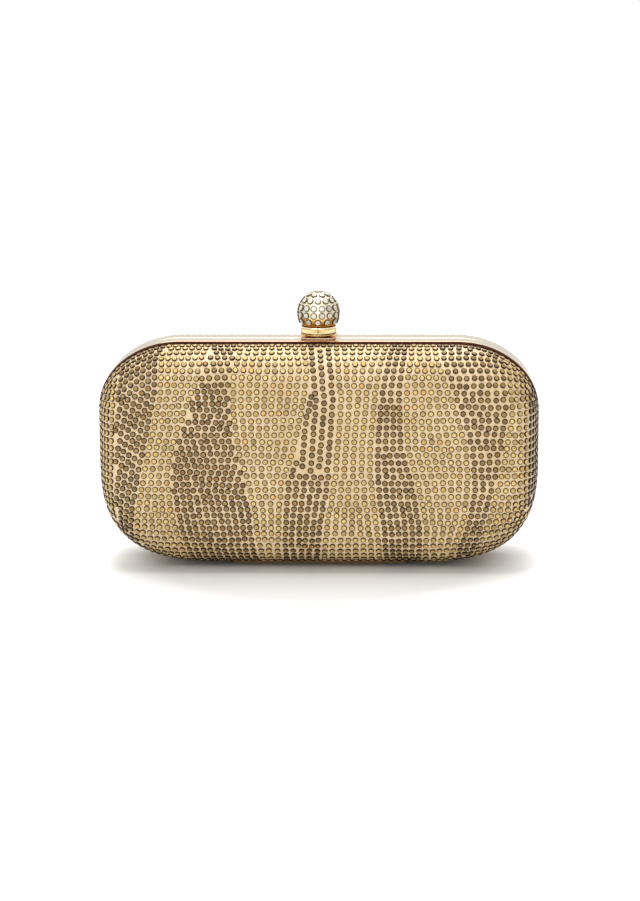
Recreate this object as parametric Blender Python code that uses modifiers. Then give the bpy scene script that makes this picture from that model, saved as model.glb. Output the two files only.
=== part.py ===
"""Box clutch: two hinged shells in metal frames, closed by a ball clasp on top.

Metres, +Z up, +X to the right of someone who faces the front, and the front at -Y.
The clutch stands on its bottom hinge, whose underside is z = 0, and y = 0 is the seam.
"""

import math

import bmesh
import bpy
import numpy as np
from mathutils import Matrix, Vector

# Frame: a U-shaped channel of sheet metal round each half, open away from the seam
FRAME_WIDTH = 0.1756
FRAME_HEIGHT = 0.0898
FRAME_DEPTH = 0.008
FRAME_SHEET = 0.0007
FRAME_EDGE = 0.0006
INNER_LIP_DEPTH = 0.005
TOP_CORNER = (0.033, 0.0274)
BOTTOM_CORNER = (0.0495, 0.0435)
TOP_FULLNESS = 2.0
BOTTOM_FULLNESS = 2.85
SEAM_GAP = 0.0003
CLEARANCE = 0.0003
OVERRUN = 0.002
MERGE_DISTANCE = 0.00001

# Case: a cover, a shell and a lining, one inside the other, in each half
CASE_DEPTH = 0.026
CROWN = 0.0008
SHOULDER_WIDTH = 0.010
TOP_SHOULDER = 0.016
BOTTOM_SHOULDER = 0.020
COVER_SHEET = 0.0005
SHELL_SHEET = 0.0014
LINING_SHEET = 0.0006

# Bottom hinge, with its leaves under the frames
HINGE_LENGTH = 0.070
HINGE_KNUCKLES = 5
HINGE_RADIUS = 0.0011
HINGE_PIN_RADIUS = 0.00045
HINGE_LIFT = 0.0001
LEAF_SHEET = 0.0008
LEAF_REACH = 0.006

# Clasp lever, hinged at the back edge of the rear frame
LEVER_WIDTH = 0.0137
LEVER_SHEET = 0.0004
LEVER_REACH = 0.0056
LEVER_CORNER = 0.0012
TONGUE_WIDTH = 0.0094
TONGUE_LENGTH = 0.0026
TOOTH_WIDTH = 0.008
TOOTH_DEPTH = 0.0006
TOOTH_DROP = 0.0001
PIVOT_SETBACK = 0.0002
BARREL_RADIUS = 0.00085
CLASP_PIN_RADIUS = 0.0003
LUG_SHEET = 0.0008
LUG_FOOT = 0.0017
LUG_DEPTH = 0.0022

# Catch plate, let into the top of the front frame
CATCH_WIDTH = 0.0094
CATCH_DEPTH = 0.0034
CATCH_SETBACK = 0.0019
CATCH_SHEET = 0.0004
RIDGE_DEPTH = 0.0005
RIDGE_HEIGHT = 0.0002

# Torsion spring on the clasp pin
SPRING_TURNS = 4
SPRING_PITCH = 0.0008
SPRING_RADIUS = 0.00065
SPRING_WIRE_RADIUS = 0.00015
SPRING_LEG = 0.0004

# Ball, the cup that it sits in, and the split band round the cup
BALL_RADIUS = 0.0083
BALL_HEIGHT = 0.0102
CUP_RADIUS = 0.0072
CUP_FOOT_RADIUS = 0.004
CUP_LIP = 0.0002
COLLAR_RADIUS = 0.00725
COLLAR_SHEET = 0.0005
COLLAR_BOTTOM = 0.00245
COLLAR_HEIGHT = 0.00255
COLLAR_SPLIT = 0.0003
SCREW_RADIUS = 0.0008
SCREW_LENGTH = 0.0042

# Steps round each kind of curve
CORNER_STEPS = 8
SIDE_STEPS = 2
SHOULDER_STEPS = 4
FACE_STEPS = 3
BALL_STEPS = 28
TURNED_STEPS = 28
PIN_STEPS = 12
COIL_STEPS = 10

# Values worked out from the sizes above
HINGE_AXIS_Z = HINGE_RADIUS + HINGE_LIFT
HINGE_BORE = HINGE_PIN_RADIUS + CLEARANCE
FRAME_BASE = max(HINGE_AXIS_Z, LEAF_SHEET + CLEARANCE)
FRAME_TOP = FRAME_BASE + FRAME_HEIGHT
FRAME_MIDDLE = (FRAME_BASE + FRAME_TOP) / 2
FRAME_FACE_Y = SEAM_GAP / 2
RIM_Y = FRAME_FACE_Y + FRAME_SHEET + CLEARANCE
COVER_INSET = FRAME_SHEET + CLEARANCE
SHELL_INSET = COVER_INSET + COVER_SHEET + CLEARANCE
LINING_INSET = SHELL_INSET + SHELL_SHEET + CLEARANCE
INNER_LIP_INSET = LINING_INSET + LINING_SHEET + CLEARANCE + FRAME_SHEET
LEVER_BOTTOM = FRAME_TOP + CLEARANCE
LEVER_TOP = LEVER_BOTTOM + LEVER_SHEET
PIVOT_Y = FRAME_DEPTH - PIVOT_SETBACK
PIVOT_Z = FRAME_TOP + CLEARANCE + BARREL_RADIUS
CLASP_BORE = CLASP_PIN_RADIUS + CLEARANCE
BALL_Z = FRAME_TOP + BALL_HEIGHT
CUP_BOTTOM = LEVER_TOP + CLEARANCE
CUP_BORE = SCREW_RADIUS + CLEARANCE

METALS = {
    "frame gold": ((0.80, 0.72, 0.58), 0.18, 1.0),
    "hinge brass": ((0.70, 0.55, 0.32), 0.30, 1.0),
    "clasp gold": ((0.83, 0.66, 0.36), 0.20, 1.0),
    "spring steel": ((0.55, 0.55, 0.56), 0.30, 1.0),
}
SOFT_AND_HARD = {
    "satin cover": ((0.72, 0.58, 0.36), 0.45, 0.0),
    "shell board": ((0.20, 0.19, 0.18), 0.60, 0.0),
    "lining cloth": ((0.42, 0.31, 0.17), 0.80, 0.0),
}


def material(name):
    """The Principled material of this name, made the first time that it is asked for."""
    found = bpy.data.materials.get(name)
    if found:
        return found
    colour, roughness, metallic = {**METALS, **SOFT_AND_HARD}[name]
    made = bpy.data.materials.new(name)
    made.use_nodes = True
    shader = made.node_tree.nodes["Principled BSDF"]
    shader.inputs["Base Color"].default_value = (*colour, 1.0)
    shader.inputs["Roughness"].default_value = roughness
    shader.inputs["Metallic"].default_value = metallic
    made.diffuse_color = (*colour, 1.0)
    return made


def clear_scene():
    """Removes what the scene holds and makes the two collections."""
    for old in list(bpy.data.objects):
        bpy.data.objects.remove(old, do_unlink=True)
    made = []
    for name in ("box_clutch", "cutters"):
        collection = bpy.data.collections.new(name)
        bpy.context.scene.collection.children.link(collection)
        made.append(collection)
    return made


def new_object(name, data, finish=None, place=(0.0, 0.0, 0.0)):
    """An object in the clutch's collection, or in the cutters' when it has no finish."""
    made = bpy.data.objects.new(name, data)
    made.location = place
    if finish:
        PARTS.objects.link(made)
        data.materials.append(material(finish))
    else:
        CUTTERS.objects.link(made)
        made.hide_render = True
        made.display_type = "WIRE"
    return made


def mesh_from(bm, name):
    """The bmesh as a mesh, shaded smooth across its shallow edges."""
    mesh = bpy.data.meshes.new(name)
    bm.to_mesh(mesh)
    bm.free()
    mesh.shade_smooth()
    mesh.set_sharp_from_angle(angle=math.radians(35))
    return mesh


def box(name, low, high, finish=None, corner=0.0):
    """A box between two corners, its upright edges rounded by a radius of corner."""
    size = Vector(high) - Vector(low)
    bm = bmesh.new()
    bmesh.ops.create_cube(bm, size=1.0, matrix=Matrix.Diagonal((*size, 1.0)))
    if corner:
        upright = [e for e in bm.edges if abs(e.verts[0].co.z - e.verts[1].co.z) > size.z / 2]
        bmesh.ops.bevel(bm, geom=upright, offset=corner, segments=3, profile=0.5, affect="EDGES")
    return new_object(name, mesh_from(bm, name), finish, (Vector(low) + Vector(high)) / 2)


def rod(name, radius, start, end, finish=None, sides=PIN_STEPS):
    """A round rod from start to end."""
    start, end = Vector(start), Vector(end)
    turn = (end - start).to_track_quat("Z", "Y").to_matrix().to_4x4()
    bm = bmesh.new()
    bmesh.ops.create_cone(bm, cap_ends=True, segments=sides, radius1=radius, radius2=radius,
                          depth=(end - start).length, matrix=turn)
    return new_object(name, mesh_from(bm, name), finish, (start + end) / 2)


def turned(name, profile, finish, place):
    """A closed profile of (radius, height) points turned about the upright axis at place."""
    mesh = bpy.data.meshes.new(name)
    points = [(radius, 0.0, height) for radius, height in profile]
    mesh.from_pydata(points, [(i, (i + 1) % len(points)) for i in range(len(points))], [])
    made = new_object(name, mesh, finish, place)
    screw = made.modifiers.new("turn", "SCREW")
    screw.steps = screw.render_steps = TURNED_STEPS
    screw.use_merge_vertices = True
    screw.merge_threshold = MERGE_DISTANCE
    screw.use_smooth_shade = True
    return made


def boolean(target, tool, operation="DIFFERENCE"):
    """Cuts the tool from the target, or joins it on."""
    change = target.modifiers.new(tool.name, "BOOLEAN")
    change.operation = operation
    change.object = tool
    change.solver = "EXACT"


def rounded_outline(half_width, top, bottom):
    """(x, z) points of a rectangle with rounded corners, anticlockwise from the front.

    Top and bottom give (height, axis_x, axis_z): the distance from the middle, and the half
    axes of the two corners there. A corner is a quarter of a superellipse: the axes times
    cosine and sine to the power 2 / fullness, so that a fullness of 2 gives an ellipse and
    more gives a squarer corner. Each straight side is split into a few equal steps.
    """
    points = []
    corners = ((1, 1, top, TOP_FULLNESS), (-1, 1, top, TOP_FULLNESS),
               (-1, -1, bottom, BOTTOM_FULLNESS), (1, -1, bottom, BOTTOM_FULLNESS))
    for quarter, (right, up, (height, rx, rz), fullness) in enumerate(corners):
        share = np.linspace(0.0, 1.0, CORNER_STEPS + 1)
        turn = math.pi / 2 * (share if quarter % 2 == 0 else 1.0 - share)
        x = half_width - rx + rx * np.abs(np.cos(turn)) ** (2 / fullness)
        z = height - rz + rz * np.abs(np.sin(turn)) ** (2 / fullness)
        points.append(np.stack([right * x, up * z], axis=1))
    filled = []
    for here, there in zip(points, points[1:] + points[:1]):
        along = np.linspace(0.0, 1.0, SIDE_STEPS + 1)[1:-1, None]
        filled += [here, here[-1] + (there[0] - here[-1]) * along]
    return np.concatenate(filled)


def inset_outline(inset):
    """The frame's outline moved inwards by inset all round."""
    height = FRAME_HEIGHT / 2
    return rounded_outline(FRAME_WIDTH / 2 - inset,
                           [size - inset for size in (height, *TOP_CORNER)],
                           [size - inset for size in (height, *BOTTOM_CORNER)])


def face_outline():
    """The edge of the nearly flat face, where the rounded shoulder ends."""
    shrink_x = 1 - SHOULDER_WIDTH / (FRAME_WIDTH / 2)
    sizes = []
    for shoulder, (rx, rz) in ((TOP_SHOULDER, TOP_CORNER), (BOTTOM_SHOULDER, BOTTOM_CORNER)):
        height = FRAME_HEIGHT / 2 - shoulder
        shrink_z = height / (FRAME_HEIGHT / 2)
        sizes.append((height, rx * shrink_x, rz * shrink_z))
    return rounded_outline(FRAME_WIDTH / 2 - SHOULDER_WIDTH, *sizes)


def sheet(name, loops, side, thickness, finish, closed=False):
    """A wall lofted through loops of (outline, depth), thickened inwards.

    The loops run from the deepest one to the seam, depth being the distance from y = 0,
    and side is 1 for the rear half and -1 for the front. A closed sheet has its middle
    filled by a fan of triangles to one point, whose depth is given by closed.
    """
    bm = bmesh.new()
    rings = []
    for outline, depth in loops:
        rings.append([bm.verts.new((x, side * depth, z)) for x, z in outline])
    count = len(rings[0])
    for deep, shallow in zip(rings, rings[1:]):
        for i in range(count):
            j = (i + 1) % count
            corners = (deep[i], deep[j], shallow[j], shallow[i])
            bm.faces.new(corners if side > 0 else corners[::-1])
    if closed:
        middle = bm.verts.new((0.0, side * closed, 0.0))
        for i in range(count):
            corners = (middle, rings[0][(i + 1) % count], rings[0][i])
            bm.faces.new(corners if side > 0 else corners[::-1])
    made = new_object(name, mesh_from(bm, name), finish, (0.0, 0.0, FRAME_MIDDLE))
    wall = made.modifiers.new("wall", "SOLIDIFY")
    wall.thickness = thickness
    wall.offset = -1.0
    wall.use_even_offset = True
    return made


def case_wall(name, side, inset, thickness, finish):
    """One skin of the case: a straight rim, a quarter-ellipse shoulder and a crowned face.

    Inset is the skin's distance inside the frame's outline, so a skin that lies further
    inside also has a shallower face by the same amount.
    """
    rim, edge = inset_outline(inset), face_outline()
    drop = inset - COVER_INSET
    face_depth = CASE_DEPTH - CROWN - drop
    loops = []
    for share in np.arange(1, FACE_STEPS) / FACE_STEPS:
        loops.append((edge * share, face_depth + CROWN * (1 - share ** 2)))
    for turn in np.linspace(math.pi / 2, 0.0, SHOULDER_STEPS + 1):
        mixed = rim * math.cos(turn) + edge * (1 - math.cos(turn))
        loops.append((mixed, FRAME_DEPTH + (face_depth - FRAME_DEPTH) * math.sin(turn)))
    loops.append((rim, RIM_Y))
    return sheet(name, loops, side, thickness, finish, closed=face_depth + CROWN)


def frame(name, side):
    """One frame half: an outer wall, a web at the seam and a shorter inner lip."""
    outer, inner = inset_outline(0.0), inset_outline(INNER_LIP_INSET)
    loops = [
        (outer, FRAME_DEPTH),
        (outer, FRAME_FACE_Y + FRAME_EDGE),
        (inset_outline(FRAME_EDGE), FRAME_FACE_Y),
        (inset_outline(INNER_LIP_INSET - FRAME_EDGE), FRAME_FACE_Y),
        (inner, FRAME_FACE_Y + FRAME_EDGE),
        (inner, INNER_LIP_DEPTH),
    ]
    made = sheet(name, loops, side, FRAME_SHEET, "frame gold")
    boolean(made, HINGE_NOTCH)
    return made


def hinge_notch():
    """The room that both frames leave for the hinge's barrel."""
    half = HINGE_LENGTH / 2 + CLEARANCE
    reach = HINGE_RADIUS + CLEARANCE
    return box("hinge_notch", (-half, -reach, -OVERRUN), (half, reach, HINGE_AXIS_Z + reach))


def knuckle_span(index):
    """Where one knuckle of the hinge starts and ends along X."""
    length = (HINGE_LENGTH - (HINGE_KNUCKLES - 1) * CLEARANCE) / HINGE_KNUCKLES
    start = -HINGE_LENGTH / 2 + index * (length + CLEARANCE)
    return start, start + length


def hinge_leaf(name, side, first):
    """A leaf under one frame, with every second knuckle of the barrel, from first on.

    The plate reaches in to the axis at its own knuckles, and is cut back clear of the
    barrel at the other leaf's.
    """
    half = HINGE_LENGTH / 2 - CLEARANCE
    edges = sorted((0.0, side * LEAF_REACH))
    leaf = box(name, (-half, edges[0], 0.0), (half, edges[1], LEAF_SHEET), "hinge brass")
    room = sorted((-side * OVERRUN, side * (HINGE_RADIUS + CLEARANCE)))
    for index in range(HINGE_KNUCKLES):
        start, end = knuckle_span(index)
        if index % 2 == first:
            knuckle = rod(f"{name}_knuckle_{index}", HINGE_RADIUS, (start, 0.0, HINGE_AXIS_Z),
                          (end, 0.0, HINGE_AXIS_Z), sides=2 * PIN_STEPS)
            boolean(leaf, knuckle, "UNION")
        else:
            boolean(leaf, box(f"{name}_room_{index}",
                              (start - 2 * CLEARANCE, room[0], -OVERRUN),
                              (end + 2 * CLEARANCE, room[1], LEAF_SHEET + OVERRUN)))
    boolean(leaf, HINGE_BORE_TOOL)
    return leaf


def clasp_lug(name, side):
    """A small angle on the rear frame that carries one end of the clasp's pin."""
    inner = TONGUE_WIDTH / 2 + CLEARANCE
    outer = inner + LUG_SHEET
    bottom = FRAME_TOP + CLEARANCE
    foot_edges = sorted((side * inner, side * (outer + LUG_FOOT)))
    lug = box(name, (foot_edges[0], FRAME_DEPTH - LUG_DEPTH, bottom),
              (foot_edges[1], FRAME_DEPTH, bottom + LEVER_SHEET), "clasp gold")
    ear = rod(f"{name}_ear", BARREL_RADIUS, (side * inner, PIVOT_Y, PIVOT_Z),
              (side * outer, PIVOT_Y, PIVOT_Z), sides=2 * PIN_STEPS)
    boolean(lug, ear, "UNION")
    boolean(lug, CLASP_BORE_TOOL)
    return lug


def clasp_lever():
    """The plate under the cup, with a tongue and two knuckles behind and a tooth in front."""
    half = LEVER_WIDTH / 2
    tongue_half = TONGUE_WIDTH / 2
    back = PIVOT_Y - TONGUE_LENGTH
    lever = box("clasp_lever", (-half, -LEVER_REACH, LEVER_BOTTOM),
                (half, back, LEVER_TOP), "clasp gold", LEVER_CORNER)
    spring_room = SPRING_TURNS * SPRING_PITCH / 2 + SPRING_WIRE_RADIUS + CLEARANCE
    tooth_back = -CATCH_SETBACK - RIDGE_DEPTH - 2 * CLEARANCE
    joined = [
        box("lever_tongue", (-tongue_half, back - OVERRUN, LEVER_BOTTOM),
            (tongue_half, PIVOT_Y, LEVER_TOP)),
        box("lever_tooth", (-TOOTH_WIDTH / 2, tooth_back - TOOTH_DEPTH, LEVER_BOTTOM - TOOTH_DROP),
            (TOOTH_WIDTH / 2, tooth_back, LEVER_TOP - LEVER_SHEET / 2)),
    ]
    for side, label in ((1, "right"), (-1, "left")):
        joined.append(rod(f"lever_barrel_{label}", BARREL_RADIUS,
                          (side * spring_room, PIVOT_Y, PIVOT_Z),
                          (side * tongue_half, PIVOT_Y, PIVOT_Z), sides=2 * PIN_STEPS))
    for tool in joined:
        boolean(lever, tool, "UNION")
    room_front = PIVOT_Y - SPRING_RADIUS - SPRING_WIRE_RADIUS - CLEARANCE
    boolean(lever, box("lever_spring_room", (-spring_room, room_front, FRAME_TOP),
                       (spring_room, PIVOT_Y + OVERRUN, PIVOT_Z + OVERRUN)))
    boolean(lever, CLASP_BORE_TOOL)
    boolean(lever, rod("lever_screw_hole", CUP_BORE, (0.0, 0.0, LEVER_BOTTOM - OVERRUN),
                       (0.0, 0.0, LEVER_TOP + OVERRUN)))
    return lever


def catch_plate():
    """The plate behind the front frame's opening, with a ridge for the lever's tooth."""
    half = CATCH_WIDTH / 2
    top = FRAME_TOP - FRAME_SHEET / 2 + CATCH_SHEET / 2 - RIDGE_HEIGHT / 2
    plate = box("catch_plate", (-half, -CATCH_SETBACK - CATCH_DEPTH, top - CATCH_SHEET),
                (half, -CATCH_SETBACK, top), "frame gold")
    ridge = box("catch_ridge", (-half, -CATCH_SETBACK - RIDGE_DEPTH, top - CATCH_SHEET / 2),
                (half, -CATCH_SETBACK, top + RIDGE_HEIGHT))
    boolean(plate, ridge, "UNION")
    return plate


def catch_opening():
    """The opening in the top of the front frame that the catch plate fills."""
    half = CATCH_WIDTH / 2 + CLEARANCE
    return box("catch_opening",
               (-half, -CATCH_SETBACK - CATCH_DEPTH - CLEARANCE, FRAME_TOP - FRAME_SHEET - CLEARANCE),
               (half, -CATCH_SETBACK + CLEARANCE, FRAME_TOP + OVERRUN))


def clasp_spring():
    """The torsion spring: turns about the clasp's pin, with a short leg at each end."""
    turn = 2 * math.pi * np.arange(SPRING_TURNS * COIL_STEPS + 1) / COIL_STEPS
    along = SPRING_PITCH * (turn / (2 * math.pi) - SPRING_TURNS / 2)
    coil = np.stack([along, SPRING_RADIUS * np.cos(turn), SPRING_RADIUS * np.sin(turn)], axis=1)
    start = coil[0] - (0.0, 0.0, SPRING_LEG)
    end = coil[-1] + (0.0, 0.0, SPRING_LEG)
    points = np.concatenate([[start], coil, [end]])
    apart = np.linalg.norm(points[:, None] - points[None], axis=2)
    index = np.arange(len(points))
    far = np.abs(index[:, None] - index[None]) > COIL_STEPS / 2
    print(f"spring: least gap to itself {1000 * (apart[far].min() - 2 * SPRING_WIRE_RADIUS):.2f} mm")
    curve = bpy.data.curves.new("clasp_spring", "CURVE")
    curve.dimensions = "3D"
    curve.bevel_depth = SPRING_WIRE_RADIUS
    curve.bevel_resolution = 1
    curve.use_fill_caps = True
    spline = curve.splines.new("POLY")
    spline.points.add(len(points) - 1)
    spline.points.foreach_set("co", np.column_stack([points, np.ones(len(points))]).ravel())
    return new_object("clasp_spring", curve, "spring steel", (0.0, PIVOT_Y, PIVOT_Z))


def clasp_cup():
    """The bowl under the ball: it stands on the lever and reaches up inside the collar."""
    seat_radius = BALL_RADIUS + CLEARANCE
    spigot = COLLAR_RADIUS - COLLAR_SHEET - CLEARANCE
    seat_reach = spigot - CLEARANCE
    seat_top = BALL_HEIGHT - math.sqrt(seat_radius ** 2 - seat_reach ** 2)
    lip_top = COLLAR_BOTTOM - CLEARANCE
    bottom = CUP_BOTTOM - FRAME_TOP
    profile = [(spigot, seat_top), (spigot, lip_top), (CUP_RADIUS, lip_top),
               (CUP_RADIUS, lip_top - CUP_LIP)]
    bowl_height = lip_top - CUP_LIP - bottom
    for turn in np.linspace(0.0, math.pi / 2, 5)[1:]:
        reach = CUP_FOOT_RADIUS + (CUP_RADIUS - CUP_FOOT_RADIUS) * math.cos(turn)
        profile.append((reach, bottom + bowl_height * (1 - math.sin(turn))))
    profile.append((CUP_BORE, bottom))
    for reach in np.linspace(CUP_BORE, seat_reach, 5):
        profile.append((reach, BALL_HEIGHT - math.sqrt(seat_radius ** 2 - reach ** 2)))
    return turned("clasp_cup", profile, "clasp gold", (0.0, 0.0, FRAME_TOP))


def clasp_collar():
    """The band round the ball's foot, bent from a strip, so that it has a split in front."""
    top = COLLAR_BOTTOM + COLLAR_HEIGHT
    inside = COLLAR_RADIUS - COLLAR_SHEET
    bead = COLLAR_SHEET / 3
    profile = [(inside, top), (COLLAR_RADIUS - bead, top), (COLLAR_RADIUS, top - bead),
               (COLLAR_RADIUS, COLLAR_BOTTOM + bead), (COLLAR_RADIUS - bead, COLLAR_BOTTOM),
               (inside, COLLAR_BOTTOM)]
    collar = turned("clasp_collar", profile, "clasp gold", (0.0, 0.0, FRAME_TOP))
    half = COLLAR_SPLIT / 2
    boolean(collar, box("collar_split", (-half, -COLLAR_RADIUS - OVERRUN, FRAME_TOP),
                        (half, 0.0, FRAME_TOP + top + OVERRUN)))
    return collar


def clasp_ball():
    """The ball, with a blind hole for its screw."""
    bm = bmesh.new()
    bmesh.ops.create_uvsphere(bm, u_segments=BALL_STEPS, v_segments=BALL_STEPS // 2,
                              radius=BALL_RADIUS)
    ball = new_object("clasp_ball", mesh_from(bm, "clasp_ball"), "clasp gold", (0.0, 0.0, BALL_Z))
    hole_top = LEVER_BOTTOM + SCREW_LENGTH + CLEARANCE
    boolean(ball, rod("ball_hole", CUP_BORE, (0.0, 0.0, FRAME_TOP), (0.0, 0.0, hole_top)))
    return ball


def clasp_screw():
    """The headless screw that holds the ball and the cup down on the lever."""
    return rod("clasp_screw", SCREW_RADIUS, (0.0, 0.0, LEVER_BOTTOM),
               (0.0, 0.0, LEVER_BOTTOM + SCREW_LENGTH), "spring steel")


def hinge_pin():
    """The pin through the bottom hinge's barrel."""
    half = HINGE_LENGTH / 2
    return rod("hinge_pin", HINGE_PIN_RADIUS, (-half, 0.0, HINGE_AXIS_Z),
               (half, 0.0, HINGE_AXIS_Z), "hinge brass")


def clasp_pin():
    """The pin through the lever's knuckles and both lugs."""
    half = TONGUE_WIDTH / 2 + CLEARANCE + LUG_SHEET
    return rod("clasp_pin", CLASP_PIN_RADIUS, (-half, PIVOT_Y, PIVOT_Z),
               (half, PIVOT_Y, PIVOT_Z), "spring steel")


def carried_by(name, axis_point, pieces):
    """Hangs the pieces from an empty on their joint's axis, and leaves them in their places."""
    axis = bpy.data.objects.new(name, None)
    axis.location = axis_point
    PARTS.objects.link(axis)
    for piece in pieces:
        piece.parent = axis
        piece.matrix_parent_inverse = Matrix.Translation(axis_point).inverted()


def case_half(prefix, side):
    """The cover, shell and lining of one half."""
    return [
        case_wall(f"{prefix}_cover", side, COVER_INSET, COVER_SHEET, "satin cover"),
        case_wall(f"{prefix}_shell", side, SHELL_INSET, SHELL_SHEET, "shell board"),
        case_wall(f"{prefix}_lining", side, LINING_INSET, LINING_SHEET, "lining cloth"),
    ]


PARTS, CUTTERS = clear_scene()
HINGE_NOTCH = hinge_notch()
HINGE_BORE_TOOL = rod("hinge_bore", HINGE_BORE,
                      (-HINGE_LENGTH / 2 - OVERRUN, 0.0, HINGE_AXIS_Z),
                      (HINGE_LENGTH / 2 + OVERRUN, 0.0, HINGE_AXIS_Z))
CLASP_BORE_TOOL = rod("clasp_bore", CLASP_BORE,
                      (-LEVER_WIDTH, PIVOT_Y, PIVOT_Z), (LEVER_WIDTH, PIVOT_Y, PIVOT_Z))

rear_pieces = [frame("rear_frame", 1), *case_half("rear", 1), hinge_leaf("rear_hinge_leaf", 1, 0),
               hinge_pin(), clasp_lug("clasp_lug_right", 1), clasp_lug("clasp_lug_left", -1),
               clasp_pin()]

front_frame = frame("front_frame", -1)
boolean(front_frame, catch_opening())
front_pieces = [front_frame, *case_half("front", -1), hinge_leaf("front_hinge_leaf", -1, 1),
                catch_plate()]
carried_by("front_half_axis", (0.0, 0.0, HINGE_AXIS_Z), front_pieces)

clasp_pieces = [clasp_lever(), clasp_spring(), clasp_cup(), clasp_collar(), clasp_ball(),
                clasp_screw()]
carried_by("clasp_axis", (0.0, PIVOT_Y, PIVOT_Z), clasp_pieces)
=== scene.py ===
# %% [markdown]
# # A box clutch set with crystals
#
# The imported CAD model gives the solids, the bodies and the joints of a hard evening clutch.
# This lesson dresses it: satin covers set with rows of flat-back crystals, polished frames, a
# crystal ball on the clasp, and the linings that show when it opens. Lengths are in metres,
# Z is up, X runs to the right of someone who faces the front, and the front looks to -Y.

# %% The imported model
import math

import bpy
import numpy as np
from mathutils import Matrix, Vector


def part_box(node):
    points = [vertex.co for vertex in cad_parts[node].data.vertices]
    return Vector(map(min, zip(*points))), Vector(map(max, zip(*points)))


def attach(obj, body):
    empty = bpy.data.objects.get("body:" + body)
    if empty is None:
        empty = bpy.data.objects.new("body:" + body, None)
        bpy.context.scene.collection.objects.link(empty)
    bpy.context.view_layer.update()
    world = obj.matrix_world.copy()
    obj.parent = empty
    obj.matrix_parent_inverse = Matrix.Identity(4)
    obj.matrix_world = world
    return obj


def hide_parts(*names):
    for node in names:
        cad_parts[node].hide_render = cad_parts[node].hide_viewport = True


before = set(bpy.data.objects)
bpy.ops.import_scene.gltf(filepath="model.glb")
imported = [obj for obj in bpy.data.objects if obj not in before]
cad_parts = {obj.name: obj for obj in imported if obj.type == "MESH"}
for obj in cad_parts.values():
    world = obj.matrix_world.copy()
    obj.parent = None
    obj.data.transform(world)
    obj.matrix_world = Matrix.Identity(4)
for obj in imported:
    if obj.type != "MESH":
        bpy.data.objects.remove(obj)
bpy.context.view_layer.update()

MM = 0.001
FRAME_LOW, FRAME_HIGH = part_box("front_frame")
FRAME_TOP = FRAME_HIGH.z
FRAME_DEPTH = -FRAME_LOW.y
FRAME_MIDDLE = (FRAME_LOW.z + FRAME_HIGH.z) / 2
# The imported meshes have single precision, so these are rounded to a thousandth of a millimetre.
FRAME_BOTTOM = round(FRAME_LOW.z, 6)
HALF_WIDTH = round(FRAME_HIGH.x, 6)
HALF_HEIGHT = round((FRAME_HIGH.z - FRAME_LOW.z) / 2, 6)

# %% [markdown]
# ## The camera
#
# A small object photographed from a little above, with a long lens, keeps its upright lines
# almost parallel. The camera is placed by its distance, height and turn, and the lens follows
# from how many millimetres one pixel of the picture covers at the seam between the frames.

# %% Camera
PICTURE = (640, 901)
SENSOR = 36.0
DISTANCE = 1.2
CAMERA_HEIGHT = math.radians(12.0)
CAMERA_TURN = math.radians(2.0)
CAMERA_ROLL = math.radians(-0.3)
PIXEL = 0.4020 * MM
AIM = np.array([0.3 * MM, 0.0, FRAME_MIDDLE - 1.15 * MM])
CLIP_START, CLIP_END = 0.01, 20.0


def camera_at(aim, distance, turn, height, roll):
    """A camera that looks at the aim from this distance, turned about Z, raised and rolled."""
    away = np.array([math.sin(turn) * math.cos(height), -math.cos(turn) * math.cos(height),
                     math.sin(height)])
    data = bpy.data.cameras.new("camera")
    made = bpy.data.objects.new("camera", data)
    bpy.context.scene.collection.objects.link(made)
    made.location = aim + distance * away
    raised = Matrix.Rotation(math.pi / 2 - height, 3, "X") @ Matrix.Rotation(roll, 3, "Z")
    made.rotation_euler = (Matrix.Rotation(turn, 3, "Z") @ raised).to_euler()
    data.sensor_width = SENSOR
    data.lens = SENSOR * distance / (max(PICTURE) * PIXEL)
    data.clip_start, data.clip_end = CLIP_START, CLIP_END
    return made


bpy.context.scene.camera = camera_at(AIM, DISTANCE, CAMERA_TURN, CAMERA_HEIGHT, CAMERA_ROLL)
bpy.context.scene.view_settings.view_transform = "Standard"
print("lens", round(bpy.context.scene.camera.data.lens, 1), "mm")

# %% [markdown]
# ## Node materials in a few words
#
# Each finish is one Principled shader. Whatever is the same all over is written on the
# shader's own sockets, and only what changes from place to place gets nodes: a colour ramp
# over a noise, or a bump. All of them read object coordinates or an attribute of the mesh.

# %% Helpers for materials
def linear(*shade):
    """The linear colour of an sRGB colour given in 0 to 255."""
    c = np.array(shade) / 255
    return (*np.where(c <= 0.04045, c / 12.92, ((c + 0.055) / 1.055) ** 2.4), 1.0)


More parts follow.
